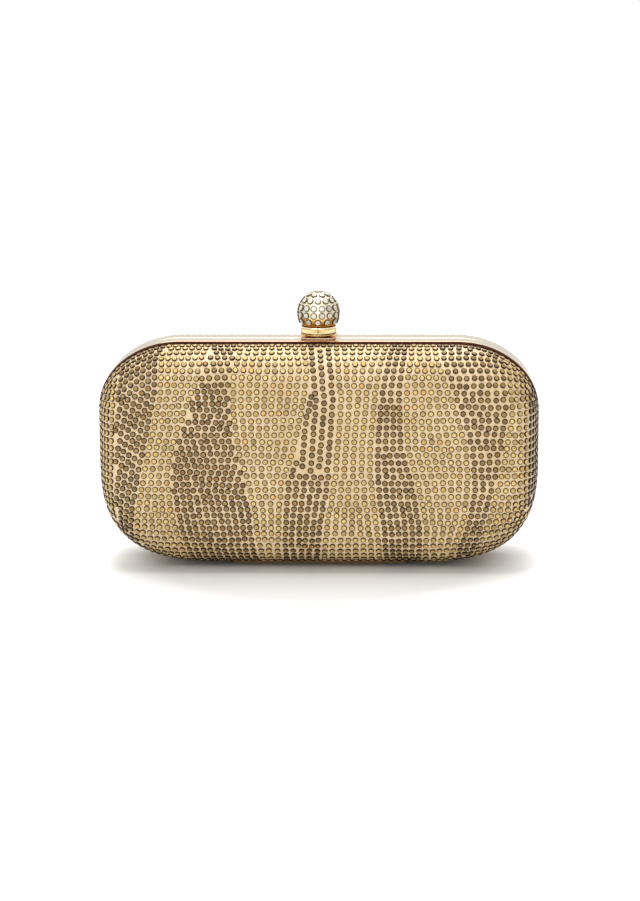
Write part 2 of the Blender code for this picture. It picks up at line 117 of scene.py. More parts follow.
class Finish:
    """A Principled material, and short ways to add the nodes that vary over its surface."""

    def __init__(self, name, colour, roughness, **sockets):
        self.material = bpy.data.materials.new(name)
        self.material.use_nodes = True
        self.tree = self.material.node_tree
        self.shader = self.tree.nodes["Principled BSDF"]
        self.shader.inputs["Base Color"].default_value = colour
        self.shader.inputs["Roughness"].default_value = roughness
        for socket, value in sockets.items():
            self.shader.inputs[socket.replace("_", " ")].default_value = value
        self.material.diffuse_color = colour

    def node(self, kind, **settings):
        """A new node with these settings; a socket's setting has the socket's name."""
        made = self.tree.nodes.new("ShaderNode" + kind)
        for name, value in settings.items():
            if hasattr(made, name):
                setattr(made, name, value)
            else:
                made.inputs[name.replace("_", " ")].default_value = value
        return made

    def link(self, start, end):
        self.tree.links.new(start, end)

    def noise(self, scale, detail=3.0, stretch=(1.0, 1.0, 1.0)):
        """Noise on object coordinates; a stretch above 1 squeezes it along that axis."""
        place = self.node("Mapping", Scale=stretch)
        self.link(self.node("TexCoord").outputs["Object"], place.inputs["Vector"])
        made = self.node("TexNoise", Scale=scale, Detail=detail)
        self.link(place.outputs["Vector"], made.inputs["Vector"])
        return made.outputs["Fac"]

    def place(self, axis, low, high):
        """0 where the distance from the origin along an axis is low, and 1 where it is high."""
        way = self.node("SeparateXYZ")
        self.link(self.node("TexCoord").outputs["Object"], way.inputs[0])
        size = self.node("Math", operation="ABSOLUTE")
        self.link(way.outputs[axis], size.inputs[0])
        made = self.node("MapRange")
        made.inputs["From Min"].default_value, made.inputs["From Max"].default_value = low, high
        self.link(size.outputs[0], made.inputs["Value"])
        return made.outputs["Result"]

    def attribute(self, name):
        """A number stored on the mesh under this name."""
        return self.node("Attribute", attribute_name=name).outputs["Fac"]

    def ramp(self, value, *stops):
        """A colour for each (position, colour) stop, blended in between."""
        made = self.node("ValToRGB")
        band = made.color_ramp.elements
        for place, (position, colour) in zip((band[0], band[1]), (stops[0], stops[-1])):
            place.position, place.color = position, colour
        for position, colour in stops[1:-1]:
            band.new(position).color = colour
        self.link(value, made.inputs["Fac"])
        return made.outputs["Color"]

    def between(self, value, low, high):
        """The value moved from 0 to 1 onto low to high."""
        made = self.node("MapRange")
        made.inputs["To Min"].default_value, made.inputs["To Max"].default_value = low, high
        self.link(value, made.inputs["Value"])
        return made.outputs["Result"]

    def times(self, first, second):
        """Two colours multiplied."""
        made = self.node("Mix", data_type="RGBA", blend_type="MULTIPLY")
        made.inputs["Factor"].default_value = 1.0
        first_socket, second_socket = [s for s in made.inputs if s.type == "RGBA"]
        self.link(first, first_socket)
        self.link(second, second_socket)
        return [s for s in made.outputs if s.type == "RGBA"][0]

    def colour(self, output):
        self.link(output, self.shader.inputs["Base Color"])
        return self

    def rough(self, output):
        self.link(output, self.shader.inputs["Roughness"])
        return self

    def bump(self, height, distance, strength=1.0):
        """Bump whose relief is distance deep, in metres."""
        made = self.node("Bump", Distance=distance, Strength=strength)
        self.link(height, made.inputs["Height"])
        self.link(made.outputs["Normal"], self.shader.inputs["Normal"])
        return self


def plated(name, shade, smoothest, dullest, grain=700.0, stretch=(1.0, 1.0, 1.0)):
    """A plated metal of an sRGB shade, whose roughness wanders between two values."""
    made = Finish(name, linear(*shade), (smoothest + dullest) / 2, Metallic=1.0)
    return made.rough(made.between(made.noise(grain, 3.0, stretch), smoothest, dullest))


print("helpers ready")

# %% [markdown]
# ## Studio
#
# A pale table in a pale room. To the camera the world is plain white. To polished metal it is
# white too, but a little greyer towards the horizon, as the walls of a room are, so that curved
# metal shows some shape. To everything else it is a plain grey light. The key lamp hangs right
# above, so that the shadow stays under the clutch. A second one above and behind lights the
# back, and a third one lights the front. Each lamp is a square sheet of light, as a softbox is.

# %% World
def joined(tree, operation, *values):
    """A maths node over sockets and numbers."""
    made = tree.nodes.new("ShaderNodeMath")
    made.operation = operation
    for socket, value in zip(made.inputs, values):
        if isinstance(value, float):
            socket.default_value = value
        else:
            tree.links.new(value, socket)
    return made.outputs[0]


def studio_world(light, horizon, rise):
    """White to the camera, nearly white to mirrors, and grey as a light.

    In a mirror the strength grows from horizon to 1 with the sine of the height above it.
    """
    world = bpy.data.worlds.new("studio")
    bpy.context.scene.world = world
    world.use_nodes = True
    tree = world.node_tree
    tree.nodes.clear()
    path = tree.nodes.new("ShaderNodeLightPath").outputs
    way = tree.nodes.new("ShaderNodeSeparateXYZ")
    tree.links.new(tree.nodes.new("ShaderNodeTexCoord").outputs["Generated"], way.inputs[0])
    height = tree.nodes.new("ShaderNodeMapRange")
    height.inputs["From Max"].default_value = rise
    height.inputs["To Min"].default_value = horizon
    tree.links.new(way.outputs["Z"], height.inputs["Value"])
    seen = joined(tree, "MAXIMUM", path["Is Camera Ray"], path["Is Transmission Ray"])
    mirrored = joined(tree, "MULTIPLY", path["Is Glossy Ray"], height.outputs["Result"])
    special = joined(tree, "MAXIMUM", seen, mirrored)
    plain = joined(tree, "SUBTRACT", 1.0, joined(tree, "MAXIMUM", seen, path["Is Glossy Ray"]))
    strength = joined(tree, "ADD", special, joined(tree, "MULTIPLY", plain, light))
    back = tree.nodes.new("ShaderNodeBackground")
    back.inputs["Color"].default_value = (1.0, 1.0, 1.0, 1.0)
    tree.links.new(strength, back.inputs["Strength"])
    tree.links.new(back.outputs[0], tree.nodes.new("ShaderNodeOutputWorld").inputs["Surface"])


studio_world(light=0.40, horizon=0.84, rise=0.25)
print("world ready")

# %% Lamps
def softbox(name, place, target, size, power):
    """A square area lamp at place, facing the target."""
    data = bpy.data.lights.new(name, "AREA")
    data.size, data.energy = size, power
    made = bpy.data.objects.new(name, data)
    bpy.context.scene.collection.objects.link(made)
    made.location = place
    away = np.array(place) - np.array(target)
    made.rotation_euler = (math.atan2(math.hypot(away[0], away[1]), away[2]), 0.0,
                           math.atan2(away[0], -away[1]))


LAMP_TARGET = (0.0, 0.0, 0.04)
LAMPS = [  # name, place, size and watts
    ("key_lamp", (-0.05, -0.02, 1.09), 0.55, 5.6),
    ("rear_lamp", (0.0, 0.60, 1.09), 0.8, 5.6),
    ("front_lamp", (-0.3, -1.2, 0.8), 1.2, 8.2),
]
for name, place, size, power in LAMPS:
    softbox(name, place, LAMP_TARGET, size, power)
print(len(LAMPS), "lamps")

# %% [markdown]
# ## Table
#
# The table is a plain white sheet, photographed so bright that it turns white a few
# centimetres away from the clutch. So the camera and mirrors see it with a glow that starts
# outside a circle round the foot of the clutch. Inside the circle there is none, and the
# shadow keeps its depth. The sheet ends where it still looks white, so that no horizon shows.

# %% Table
TABLE_SIZE = 2.6
GLOW_START, GLOW_END, GLOW = 0.060, 0.100, 0.5
table = Finish("table", (0.86, 0.86, 0.86, 1.0), 0.9, Specular_IOR_Level=0.0)
table.shader.inputs["Emission Color"].default_value = (1.0, 1.0, 1.0, 1.0)
path = table.node("LightPath").outputs
span = table.node("VectorMath", operation="LENGTH")
table.link(table.node("TexCoord").outputs["Object"], span.inputs[0])
outwards = table.node("MapRange", interpolation_type="SMOOTHSTEP")
for socket, value in (("From Min", GLOW_START), ("From Max", GLOW_END), ("To Max", GLOW)):
    outwards.inputs[socket].default_value = value
table.link(span.outputs["Value"], outwards.inputs["Value"])
seen = joined(table.tree, "MAXIMUM", path["Is Camera Ray"], path["Is Glossy Ray"])
table.link(joined(table.tree, "MULTIPLY", seen, outwards.outputs["Result"]),
           table.shader.inputs["Emission Strength"])

corners = np.array([[-1, -1, 0], [1, -1, 0], [1, 1, 0], [-1, 1, 0]]) * TABLE_SIZE / 2
table_mesh = bpy.data.meshes.new("table")
table_mesh.from_pydata(corners.tolist(), [], [(0, 1, 2, 3)])
table_top = bpy.data.objects.new("table", table_mesh)
table_mesh.materials.append(table.material)
bpy.context.scene.collection.objects.link(table_top)
print("studio ready")

# %% [markdown]
# ## Surfaces from numbers
#
# Every new piece is a stack of rings: a ring is one closed line of points, and neighbouring
# rings are joined by quads. A stack either ends in a point or a flat lid at each end, or runs
# round and meets itself again, as a tube bent into a loop does. Either way the mesh is closed.

# %% Helpers for meshes
def link_faces(rings, looped):
    """Quads between each ring and the next, and from the last to the first when looped."""
    count, around = rings
    first = np.arange(count if looped else count - 1)[:, None]
    step = np.arange(around)[None, :]
    after = (first + 1) % count
    beside = (step + 1) % around
    return np.stack([first * around + step, first * around + beside,
                     after * around + beside, after * around + step], axis=-1).reshape(-1, 4)


def new_piece(name, points, faces, smooth=True, sharp=None):
    """A mesh object at the origin, its faces turned outwards when the mesh is closed."""
    mesh = bpy.data.meshes.new(name)
    mesh.from_pydata(points.reshape(-1, 3).tolist(), [], faces)
    mesh.update()
    mesh.calc_loop_triangles()
    corner = np.empty(len(mesh.loop_triangles) * 3, np.int64)
    mesh.loop_triangles.foreach_get("vertices", corner)
    a, b, c = points.reshape(-1, 3)[corner.reshape(-1, 3)].transpose(1, 0, 2)
    if np.einsum("ij,ij->i", a, np.cross(b, c)).sum() < 0:
        mesh.flip_normals()
    if smooth:
        mesh.shade_smooth()
    if sharp:
        mesh.set_sharp_from_angle(angle=math.radians(sharp))
    made = bpy.data.objects.new(name, mesh)
    bpy.context.scene.collection.objects.link(made)
    return made


def ring_stack(name, rings, looped=False, sharp=None):
    """A closed mesh from rings (n, around, 3); open ends are closed by a fan to their middle."""
    count, around = rings.shape[:2]
    faces = link_faces((count, around), looped).tolist()
    points = rings.reshape(-1, 3)
    if not looped:
        last = (count - 1) * around
        step = np.arange(around)
        beside = (step + 1) % around
        middles = np.stack([rings[0].mean(axis=0), rings[-1].mean(axis=0)])
        points = np.concatenate([points, middles])
        top, bottom = count * around, count * around + 1
        faces += np.stack([np.full(around, top), beside, step], axis=1).tolist()
        faces += np.stack([np.full(around, bottom), last + step, last + beside], axis=1).tolist()
    return new_piece(name, points, faces, sharp=sharp)


def dress(piece, body, slot, finish, *nodes):
    """Gives the piece its finish and its body, and lets it stand for CAD nodes.

    The slot is not used.
    """
    piece.data.materials.append(finish.material)
    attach(piece, body)
    if nodes:
        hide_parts(*nodes)
    print(piece.name, "rides on", body, "with", len(piece.data.polygons), "faces")
    return piece


print("mesh helpers ready")

# %% [markdown]
# ## The shape of the case
#
# Both halves are pillow-shaped pressed shells. Their outline is a rectangle with rounded
# corners: elliptical ones on top, and longer, squarer ones below. Seven numbers give it: the
# half width, the heights above and below the middle, and the half axes of the top and bottom
# corners. From the rim to the edge of the nearly flat face, the seven numbers change evenly
# while the depth follows a quarter of an ellipse. Past it the outline shrinks to a point and
# the depth rises by a slight crown. One number, the level, says how far in a ring lies: 0 at
# the rim, 1 at the edge of the face and 2 at the middle.

# %% Outlines and levels
# Half axes of the frame's corners, across and up, first on top and then below, and how full the
# superellipses are: 2 is an ellipse.
CORNERS = np.array([33.0, 27.4, 49.5, 43.5]) * MM
FULLNESS = np.array([2.0, 2.85])
FRAME_BOX = np.array([HALF_WIDTH, HALF_HEIGHT, HALF_HEIGHT, *CORNERS])
# How far the face's edge lies inside the rim: at the sides, on top and below.
SHOULDER = np.array([10.0, 16.0, 20.0]) * MM
CASE_DEPTH = 0.026
CROWN = 0.8 * MM
COVER_INSET = 1.0 * MM
RIM_START = 1.15 * MM

FACE_SHRINK = 1 - SHOULDER / FRAME_BOX[:3]
FACE_BOX = FRAME_BOX * FACE_SHRINK[[0, 1, 2, 0, 1, 0, 2]]
FACE_DEPTH = CASE_DEPTH - CROWN
# The middle is drawn as an outline of this scale. Metal gets more steps round a corner and side.
SMALLEST = 1e-6
METAL_STEPS = (32, 16)


def box_at(level, inset):
    """The seven numbers at a level, for a skin that lies inset inside the frame's outline."""
    share = np.clip(level, 0, 1)[..., None]
    scale = np.clip(2 - level, SMALLEST, 1)[..., None]
    rim = FRAME_BOX - inset
    return (rim + (FACE_BOX - rim) * share) * scale


def depth_at(level, inset):
    """The distance from the seam's plane at a level: an ellipse, then the crown."""
    face = FACE_DEPTH - (inset - COVER_INSET)
    share, scale = np.clip(level, 0, 1), np.clip(2 - level, 0, 1)
    return (FRAME_DEPTH + (face - FRAME_DEPTH) * np.sqrt(share * (2 - share))
            + CROWN * (1 - scale ** 2) ** 2)


def outline(boxes, corner_steps=20, side_steps=8):
    """(x, z) points round each outline, anticlockwise from the front, for a stack of boxes.

    A corner is a quarter of a superellipse: its middle plus half axes times cosine and sine,
    both to the power 2 / fullness. Each straight side is divided evenly between the ends of
    its two corners.
    """
    half_x, top, low, *axes = np.moveaxis(boxes, -1, 0)[..., None, None]
    heights = np.concatenate([top, top, low, low], axis=-2)
    axes_x = np.concatenate([axes[0], axes[0], axes[2], axes[2]], axis=-2)
    axes_z = np.concatenate([axes[1], axes[1], axes[3], axes[3]], axis=-2)
    right = np.array([1, -1, -1, 1])[:, None]
    up = np.array([1, 1, -1, -1])[:, None]
    power = 2 / FULLNESS[[0, 0, 1, 1], None]
    turn = math.pi / 2 * (np.arange(4)[:, None] + np.linspace(0, 1, corner_steps + 1))
    x = right * (half_x - axes_x + axes_x * np.abs(np.cos(turn)) ** power)
    z = up * (heights - axes_z + axes_z * np.abs(np.sin(turn)) ** power)
    corner = np.stack([x, z], axis=-1)
    along = np.linspace(0, 1, side_steps + 1)[1:-1, None]
    start, end = corner[..., -1:, :], np.roll(corner, -1, axis=-3)[..., :1, :]
    whole = np.concatenate([corner, start + (end - start) * along], axis=-2)
    return whole.reshape(*whole.shape[:-3], -1, 2)


def rings_at(flat, depths):
    """Rings (x, y, z) from outlines (x, z) about the frame's middle, each at its own depth."""
    y = np.broadcast_to(depths[:, None], flat.shape[:2])
    return np.stack([flat[..., 0], y, flat[..., 1] + FRAME_MIDDLE], axis=-1)


print("frame outline:", outline(FRAME_BOX).shape, "points")

# %% Skins and walls
# Levels from near the middle to the face's edge, and down the shoulder by even turns of the
# ellipse. Then the skin runs straight along the rim to where the channel hides it.
FACE_LEVELS = 2 - np.linspace(0.04, 1, 14)[:-1]
SHOULDER_LEVELS = 1 - np.cos(np.linspace(math.pi / 2, 0, 22))
SKIN_LEVELS = np.concatenate([FACE_LEVELS, SHOULDER_LEVELS])
RIM_DEPTHS = np.linspace(FRAME_DEPTH, RIM_START, 5)[1:]


def skin_rings(inset, side):
    """Rings of one skin: through the levels, then straight along the rim."""
    boxes = box_at(np.concatenate([SKIN_LEVELS, np.zeros(len(RIM_DEPTHS))]), inset)
    depths = np.concatenate([depth_at(SKIN_LEVELS, inset), RIM_DEPTHS])
    return rings_at(outline(boxes), side * depths)


def wall(name, side, inset, thickness):
    """A closed wall: the outer skin from its middle to the rim, and the inner skin back."""
    outer, inner = skin_rings(inset, side), skin_rings(inset + thickness, side)
    return ring_stack(name, np.concatenate([outer, inner[::-1]]))


def skin_area(inset):
    """The area of one skin, summed over its quads as half the length of each cross product."""
    rings = skin_rings(inset, 1)
    a, b = rings[:-1], rings[1:]
    c, d = np.roll(b, -1, axis=1), np.roll(a, -1, axis=1)
    return np.linalg.norm(np.cross(c - a, d - b), axis=-1).sum() / 2


print("one cover is", round(1e4 * skin_area(COVER_INSET)), "square cm")

# %% [markdown]
# ## Satin covers
#
# The shells are covered with champagne satin, glued down and turned in under the frames. A
# light weave shows as fine lines, and the cloth shines a little. It is one stretched sheet per
# half, half a millimetre thick. Cloth that is glued down all over has no folds, so nothing is
# simulated, and the sheet is drawn straight from the shape of the case.

# %% Satin
satin = Finish("champagne_satin", linear(228, 203, 160), 0.42, Sheen_Weight=0.25,
               Sheen_Roughness=0.4)
satin.colour(satin.ramp(satin.noise(60.0, 4.0), (0.3, linear(228, 198, 149)),
                        (0.7, linear(248, 222, 180))))
satin.rough(satin.between(satin.noise(900.0, 2.0, (1.0, 1.0, 6.0)), 0.34, 0.52))
satin.bump(satin.noise(2600.0, 2.0, (1.0, 1.0, 5.0)), 0.05 * MM, 0.35)

COVER_SHEET = 0.5 * MM
for half, side in (("front", -1), ("rear", 1)):
    cover = dress(wall(f"{half}_satin_cover", side, COVER_INSET, COVER_SHEET), f"{half}_half",
                  "cover_satin", satin, f"{half}_cover")

# %% [markdown]
# ## Rows of crystals
#
# Flat-back crystals are glued on by hand in level rows that follow the curve of the case. To
# space them as a worker does, along the cloth and not along the picture, the surface is cut
# into upright sections, and the length along each section gives the rows their places. The
# level of any point (x, z) is found by halving an interval: the outline through the point is
# the one for which the point is neither inside nor outside.

# %% The case as a height over (x, z)
# How often the interval is halved, and how near the two points of a slope are.
HALVINGS, NEAR = 40, 0.002 * MM


def outside(x, z, boxes):
    """Below 1 inside the outline and above 1 outside, by the superellipse of the nearest corner."""
    half_x, top, low, top_x, top_z, low_x, low_z = np.moveaxis(boxes, -1, 0)
    high = z > 0
    height = np.where(high, top, low)
    axis_x, axis_z = np.where(high, top_x, low_x), np.where(high, top_z, low_z)
    fullness = np.where(high, *FULLNESS)
    return (np.maximum((np.abs(x) - half_x + axis_x) / axis_x, 0) ** fullness
            + np.maximum((np.abs(z) - height + axis_z) / axis_z, 0) ** fullness)


def level_of(x, z, inset=COVER_INSET):
    """The level whose outline passes through (x, z), found by halving."""
    low, high = np.zeros(np.shape(x)), np.full(np.shape(x), 2.0)
    for _ in range(HALVINGS):
        middle = (low + high) / 2
        beyond = outside(x, z, box_at(middle, inset)) > 1
        low, high = np.where(beyond, low, middle), np.where(beyond, middle, high)
    return (low + high) / 2


def outward(x, z):
    """The unit normal of the cover at (x, z), with its depth part second.

    On the shoulder the depth is an ellipse of the level, so its slope times the level's own
    gradient leans the normal outwards; on the face the crown does.
    """
    slope_x = (level_of(x + NEAR, z) - level_of(x - NEAR, z)) / (2 * NEAR)
    slope_z = (level_of(x, z + NEAR) - level_of(x, z - NEAR)) / (2 * NEAR)
    level = level_of(x, z)
    share, scale = np.clip(level, 0, 1), np.clip(2 - level, 0, 1)
    rise = np.where(level < 1, (FACE_DEPTH - FRAME_DEPTH) * (1 - share),
                    4 * CROWN * (1 - scale ** 2) * scale)
    up = np.where(level < 1, np.sqrt(share * (2 - share)), 1.0)
    normal = np.stack([-rise * slope_x, up, -rise * slope_z], axis=-1)
    return normal / np.linalg.norm(normal, axis=-1, keepdims=True)


print("normal high up on the shoulder:", outward(0.0, HALF_HEIGHT - 5 * MM).round(3))

# %% Upright sections
RIM_BOX = FRAME_BOX - COVER_INSET
# The last sections stop just short of the rim's ends, where they would have no height.
SECTION_COUNT, SECTION_REACH = 321, 0.99995


def reach(x, height, axis_x, axis_z, fullness):
    """How far up or down the rim reaches at x, from the superellipse of its corner."""
    part = np.maximum(np.abs(x) - RIM_BOX[0] + axis_x, 0) / axis_x
    return height - axis_z + axis_z * (1 - part ** fullness) ** (1 / fullness)


def upright_sections():
    """Points (x, depth, z) on upright sections, crowded towards the rim by sines."""
    swing = np.sin(np.linspace(-1, 1, SECTION_COUNT) * math.pi / 2)
    x = RIM_BOX[0] * SECTION_REACH * swing
    top = reach(x, *RIM_BOX[[1, 3, 4]], FULLNESS[0])
    low = -reach(x, *RIM_BOX[[2, 5, 6]], FULLNESS[1])
    z = ((top + low)[:, None] + (top - low)[:, None] * swing) / 2
    x = np.broadcast_to(x[:, None], z.shape)
    return x, depth_at(level_of(x, z), COVER_INSET), z


SECTIONS = upright_sections()
print("sections:", SECTIONS[0].shape)

# %% [markdown]
# ## Wavy stripes
#
# Bronze crystals form upright wavy stripes between fields of gold ones. A worker's stencil has
# the stripes' edges; here they are given as a few heights with the left and right edge at each,
# in millimetres from the middle of the face, and the rows read them off in between. Both halves
# use the same stencil, as seen by someone who faces that half.
#
# Most rows are level. One narrow stripe has rows of its own, set closer together, and in two
# stripes the crystals stand in a zigzag, which makes upright columns in a pattern of hexagons.

# %% The stencil
STRIPES = [
    # height up the cloth: left and right edge of each stripe
    [(53, -76, -61), (42, -77.5, -62.6), (28, -79.3, -62.5), (12, -79.7, -65.9),
     (-5, -80.5, -69.6), (-20, -80.8, -72.3), (-32, -79, -73.5), (-41, -74.5, -68),
     (-52, -68, -52)],
    [(53, -41.3, -31.2), (42, -44, -32.5), (31, -46.4, -34.3), (20, -50.7, -34.3),
     (4, -56.2, -32.4), (-6, -58, -29.4), (-20, -56.6, -26.3), (-38, -52.6, -24.3),
     (-52, -50, -23)],
    [(53, -4.9, 5.5), (36, -2.4, 6.9), (25, -3.6, 8.0), (12, -6.1, 7.1), (0, -9.5, 6.1),
     (-10, -12.8, 5.1), (-26, -14.0, 2.3), (-38, -14.4, 1.2), (-52, -14, 0.5)],
    [(53, 29.5, 35.5), (42, 27.2, 35.5), (30, 24.8, 33.9), (18, 23.6, 33.7), (4, 22.4, 34.4),
     (-5, 22.6, 37.4), (-16, 23.4, 39.8), (-28, 25.2, 41.7), (-52, 26.5, 41)],
    [(53, 47.3, 72), (40, 48.8, 74), (29, 52.2, 74.5), (18, 56.5, 75.2), (5, 59.9, 73.3),
     (-8, 60.8, 70.8), (-22, 59.5, 67.2), (-36, 55.5, 63), (-52, 53, 60)],
    [(53, 90, 91), (40, 86, 91), (33, 83, 91), (0, 83, 91), (-22, 83, 91), (-32, 86, 91),
     (-52, 90, 91)],
]


def stripe_edges(height):
    """The x of every stripe's two edges at one height, from left to right."""
    stripes = [np.array(stripe, float)[::-1].T for stripe in STRIPES]
    return np.array([np.interp(height, stripe[0], edge) for stripe in stripes
                     for edge in stripe[1:]]) * MM


print("edges at mid height in mm:", (stripe_edges(0) / MM).round(1))

# %% Values for the rows
# Row numbers, and the heights up the cloth at which those rows lie; between them it is even.
ROW_MARKS = np.array([(-23, -63.7), (-11, -29.7), (-6, -17.2), (10, 27.3), (22, 61.9)])
CLOSE_MARKS = np.array([(-25, -65.4), (-12, -29.7), (12, 30.3), (23, 61.8)])
HALF_MARKS = ROW_MARKS * (2, 1)
LEVEL_ROWS, CLOSE_ROWS, HALF_ROWS = range(-22, 22), range(-24, 23), range(-44, 44)
# Stripes by number. The part zigzag is one from its row number up, and level below.
CLOSE_STRIPES, ZIGZAG_STRIPES, PART_ZIGZAG = [3], [1], [5]
PART_ROW = -1
# The distance between crystals in each stripe or field, from the left edge to the right one.
PITCHES = np.array([2.6, 2.43, 2.85, 2.75, 3.05, 2.85, 3.15, 2.75, 3.0, 2.95, 2.75, 2.7, 2.6]) * MM
WIDE_PITCH = 3.35 * MM
# How far rows are shifted to and fro, as a share of the pitch, above a height.
LEAN = np.array([0, 0, 0, 0.2, 0, 0.1, 0, 0, 0, 0.08, 0, 0, 0])
LEAN_ABOVE = -14 * MM
# One row follows the trim, this deep behind the frame's edge, and the others start behind it.
# Fill rows run beside it at these shares of its pitch.
RIM_PITCH = 2.55 * MM
EDGE_ROOM = 4.0 * MM
ROW_ROOM = EDGE_ROOM + RIM_PITCH / 2
RIM_FILL = (0.9, 1.0, 1.3, 1.6)
# Height up the cloth for each millimetre of height near the rim.
CLOTH_RISE = 1.36
# Crystals nearer than this to one already there are left out.
NEAREST = 2.25 * MM
# Rows aren't quite straight: a slow wave along the row, whose start moves from row to row.
WAVE, WAVE_LENGTH, WAVE_RISE = 0.2 * MM, 34 * MM, 28.8 * MM
# A row that crosses fewer sections than this is too short to set.
FEWEST_SECTIONS = 8
# What is added before a count is cut to a whole number.
TO_NEAREST, NEARLY_UP = 0.5, 0.9
print(len(PITCHES), "stripes and fields")

# %% One row
def row_line(height):
    """The line of a row: where each upright section has this length from the level middle."""
    x, depth, z = SECTIONS
    length = np.cumsum(np.hypot(np.diff(depth, axis=1), np.diff(z, axis=1)), axis=1)
    length = np.concatenate([np.zeros((len(x), 1)), length], axis=1)
    section = np.arange(len(x))
    above = np.argmax(z > 0, axis=1)
    z_low, z_high = z[section, above - 1], z[section, above]
    part = -z_low / (z_high - z_low)
    length -= (length[section, above - 1] * (1 - part) + length[section, above] * part)[:, None]
    after = np.clip((length < height).sum(axis=1), 1, z.shape[1] - 1)
    low, high = length[section, after - 1], length[section, after]
    part = np.clip((height - low) / (high - low), 0, 1)
    line_z = z[section, after - 1] * (1 - part) + z[section, after] * part
    there = (length[:, 0] < height) & (height < length[:, -1])
    return x[:, 0], line_z, there


def set_row(index, marks, stripes, zigzag=None):
    """Places of one row's crystals: (x, z, is bronze), evenly spaced within each stripe.

    Only the stripes and fields with these numbers get crystals. Rows of some bronze ones are
    shifted to and fro by part of their distance. A zigzag row has a pitch of its own, counted
    from the stripe's right edge. It leaves out every second crystal, and the next one sets
    those, which makes upright columns in a pattern of hexagons.
    """
    height = np.interp(index, *marks.T) * MM
    x, z, there = row_line(height)
    wave = WAVE * np.sin(2 * math.pi * (x / WAVE_LENGTH + height / WAVE_RISE))
    z = z + wave * outward(x, z)[:, 1]
    depth = depth_at(level_of(x, z), COVER_INSET)
    there &= depth > FRAME_DEPTH + (EDGE_ROOM if zigzag else ROW_ROOM)
    if there.sum() < FEWEST_SECTIONS:
        return np.zeros((0, 3))
    x, z, depth = x[there], z[there], depth[there]
    steps = np.linalg.norm(np.diff(np.stack([x, z, depth]), axis=1), axis=0)
    run = np.concatenate([[0], np.cumsum(steps)])
    edges = np.clip(stripe_edges(height / MM), x[0], x[-1])
    edges = np.interp(np.concatenate([[x[0]], edges, [x[-1]]]), x, run)
    spans = np.diff(edges)
    field = np.arange(len(spans))
    counts = spans / zigzag + NEARLY_UP if zigzag else spans / PITCHES + TO_NEAREST
    counts = np.where(np.isin(field, stripes), np.floor(counts), 0).astype(int)
    owner = np.repeat(field, counts)
    within = np.arange(counts.sum()) - np.repeat(np.cumsum(counts) - counts, counts)
    bronze = owner % 2 == 1
    lean = np.where(height > LEAN_ABOVE, LEAN[owner] * (-1.0) ** index, 0.0)
    place = edges[:-1][owner] + (within + 0.5 + lean) / counts[owner] * spans[owner]
    if zigzag:
        place = edges[1:][owner] - (within + 0.5) * zigzag
    row = np.stack([np.interp(place, run, x), np.interp(place, run, z), bronze], axis=1)
    return row[(within + index) % 2 == 0] if zigzag else row


print("the middle row has", len(set_row(0, ROW_MARKS, range(len(PITCHES)))), "crystals")

# %% The rim's row, and keeping apart
def rim_row(room):
    """Places along the trim: the outline at one depth, walked in even steps.

    The level is where the quarter ellipse has that depth. The height up the cloth grows with z.
    """
    rise = room / (FACE_DEPTH - FRAME_DEPTH)
    line = outline(box_at(np.array([1 - math.sqrt(1 - rise ** 2)]), COVER_INSET))[0]
    line = np.concatenate([line, line[:1]])
    run = np.concatenate([[0], np.cumsum(np.linalg.norm(np.diff(line, axis=0), axis=1))])
    place = np.arange(0.5, round(run[-1] / RIM_PITCH)) * run[-1] / round(run[-1] / RIM_PITCH)
    x, z = np.interp(place, run, line[:, 0]), np.interp(place, run, line[:, 1])
    field = (x > stripe_edges(CLOTH_RISE * z / MM)).sum(axis=0)
    return np.stack([x, z, field % 2 == 1], axis=1)


def apart(rows):
    """The places without those that lie closer than NEAREST to one that was kept before."""
    x, z = rows[:, 0], rows[:, 1]
    spots = np.stack([x, depth_at(level_of(x, z), COVER_INSET), z], axis=1)
    kept = np.ones(len(rows), bool)
    for place, spot in enumerate(spots):
        if kept[place]:
            later = np.linalg.norm(spots[place + 1:] - spot, axis=1)
            kept[place + 1:] &= later >= NEAREST
    return rows[kept]


print("the row along the trim has", len(rim_row(EDGE_ROOM)), "crystals")

# %% All the places
every_field = range(len(PITCHES))
lower_fields = [field for field in every_field if field not in CLOSE_STRIPES + ZIGZAG_STRIPES]
upper_fields = [field for field in lower_fields if field not in PART_ZIGZAG]
# The last two lists fill what gaps the others leave.
placed = apart(np.concatenate(
    [rim_row(EDGE_ROOM)]
    + [set_row(index, ROW_MARKS, lower_fields if index < PART_ROW else upper_fields)
       for index in LEVEL_ROWS]
    + [set_row(index, CLOSE_MARKS, CLOSE_STRIPES) for index in CLOSE_ROWS]
    + [set_row(index, HALF_MARKS, ZIGZAG_STRIPES, PITCHES[1]) for index in HALF_ROWS]
    + [set_row(index, HALF_MARKS, PART_ZIGZAG, WIDE_PITCH)
       for index in HALF_ROWS if index >= 2 * PART_ROW]
    + [rim_row(EDGE_ROOM + RIM_PITCH * share) for share in RIM_FILL]
    + [set_row(index, HALF_MARKS, every_field) for index in HALF_ROWS]))
is_bronze = placed[:, 2] > 0.5
print(len(placed), "crystals a half,", int(is_bronze.sum()), "of them bronze")

# %% [markdown]
# ## One crystal
#
# A flat-back crystal has a low girdle, two rows of facets and a flat table. Three numbers are
# stored on each facet or crystal: its zone, a random painted glint, and the tint of its crystal.
# The material turns them into a dark girdle, a lighter crown and a clear table. The girdle's dark
# is partly the foil's own edge and partly painted shade. The crown and the table are painted
# reflections of what the foil behind real glass throws back when seen from above. A girdle facet
# that looks up at the lamps or down at the table is stored as a lighter zone, which is painted
# light. Instances of one crystal would be lighter, but a single mesh keeps these numbers for each
# one.

# %% Crystal template
CUT_SIDES = 10
# The cut as (radius, height) in radii, and the zone of the facets between those rings.
CUT_PROFILE = [(1.0, -0.10), (1.0, 0.26), (0.77, 0.42), (0.58, 0.52)]
CUT_ZONES = [0.0, 0.35, 0.75]


